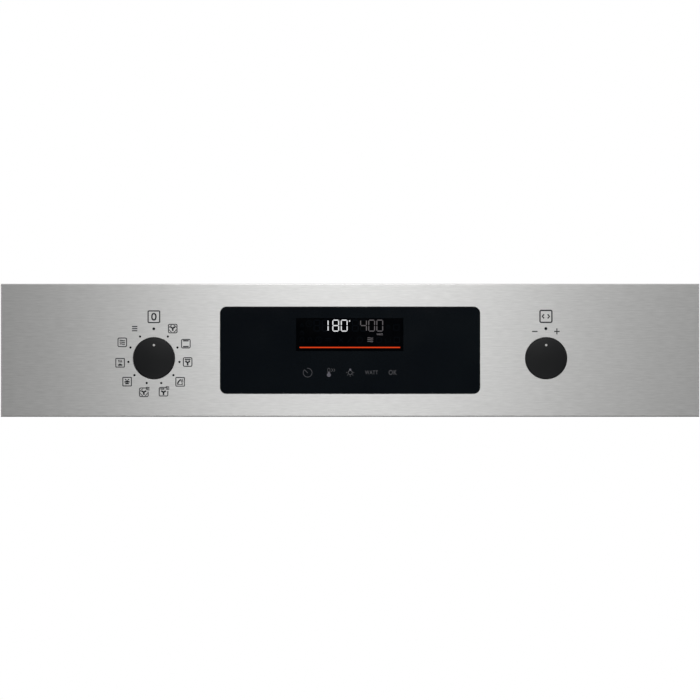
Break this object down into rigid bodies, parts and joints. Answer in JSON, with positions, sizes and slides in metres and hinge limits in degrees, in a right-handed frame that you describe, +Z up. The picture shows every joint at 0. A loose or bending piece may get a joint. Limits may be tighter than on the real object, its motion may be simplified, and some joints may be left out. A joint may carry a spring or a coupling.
{
  "type": "wall oven control panel",
  "caption": "Built-in wall oven control panel: folded brushed-steel front with black display window and push-in rotary knobs, moulded carrier and covered electronics behind.",
  "frame": {"origin": "middle of the plane where the rear flanges of the two side brackets meet the oven's front frame, on the panel's centre line and half way up", "axes": "+X to the user's right, +Y into the oven, +Z up; the knobs face -Y"},
  "size_m": [0.595, 0.047, 0.1134],
  "materials": {
    "steel_front": "brushed side to side",
    "black_glass": "gloss, black on its back face",
    "tape": "matte",
    "display": "satin",
    "touch_foam": "matte",
    "carrier_plastic": "fine grain",
    "circuit_board": "solder mask",
    "chip": "matte",
    "capacitor_can": "satin",
    "socket_plastic": "satin",
    "cover_plastic": "fine grain",
    "zinc": "zinc plated",
    "tinned_brass": "tinned",
    "foam": "open foam",
    "lead_sheath": "matte",
    "knob_plastic": "satin",
    "pointer_paint": "satin",
    "spindle_steel": "ground",
    "latch_plastic": "satin"
  },
  "bodies": {
    "panel": {"bracket_screw_1": "zinc", "bracket_screw_2": "zinc", "bracket_screw_3": "zinc", "bracket_screw_4": "zinc", "buzzer": "chip", "capacitor": "capacitor_can", "carrier": "carrier_plastic", "control_board": "circuit_board", "cover_screw_1": "zinc", "cover_screw_2": "zinc", "cover_screw_3": "zinc", "cover_screw_4": "zinc", "display_module": "display", "display_window": "black_glass", "earth_tab": "tinned_brass", "electronics_cover": "cover_plastic", "fascia": "steel_front", "left_board_screw_inner": "zinc", "left_board_screw_outer": "zinc", "left_board_socket": "socket_plastic", "left_bracket": "zinc", "left_encoder": "zinc", "left_encoder_board": "circuit_board", "left_encoder_plug": "socket_plastic", "left_knob_housing": "cover_plastic", "left_lead": "lead_sheath", "left_main_plug": "socket_plastic", "left_main_socket": "socket_plastic", "processor": "chip", "right_board_screw_inner": "zinc", "right_board_screw_outer": "zinc", "right_board_socket": "socket_plastic", "right_bracket": "zinc", "right_encoder": "zinc", "right_encoder_board": "circuit_board", "right_encoder_plug": "socket_plastic", "right_knob_housing": "cover_plastic", "right_lead": "lead_sheath", "right_main_plug": "socket_plastic", "right_main_socket": "socket_plastic", "supply_socket": "socket_plastic", "top_seal": "foam", "touch_pad_1": "touch_foam", "touch_pad_2": "touch_foam", "touch_pad_3": "touch_foam", "touch_pad_4": "touch_foam", "touch_pad_5": "touch_foam", "window_tape": "tape"},
    "left_shaft": {"left_spindle": "spindle_steel", "left_latch": "latch_plastic", "left_spring": "spindle_steel"},
    "left_grip": {"left_knob": "knob_plastic", "left_pointer": "pointer_paint"},
    "right_shaft": {"right_spindle": "spindle_steel", "right_latch": "latch_plastic", "right_spring": "spindle_steel"},
    "right_grip": {"right_knob": "knob_plastic", "right_pointer": "pointer_paint"}
  },
  "joints": [
    {"name": "left_knob_turn", "type": "hinge", "parent": "panel", "child": "left_shaft", "pos_m": [-0.1669, 0, -0.0068], "axis": [0, 1, 0], "continuous": true},
    {"name": "left_knob_out", "type": "slide", "parent": "left_shaft", "child": "left_grip", "axis": [0, -1, 0], "range_m": [0, 0.0175], "deforming": ["left_spring"]},
    {"name": "right_knob_turn", "type": "hinge", "parent": "panel", "child": "right_shaft", "pos_m": [0.1669, 0, -0.0068], "axis": [0, 1, 0], "continuous": true},
    {"name": "right_knob_out", "type": "slide", "parent": "right_shaft", "child": "right_grip", "axis": [0, -1, 0], "range_m": [0, 0.0175], "deforming": ["right_spring"]}
  ]
}
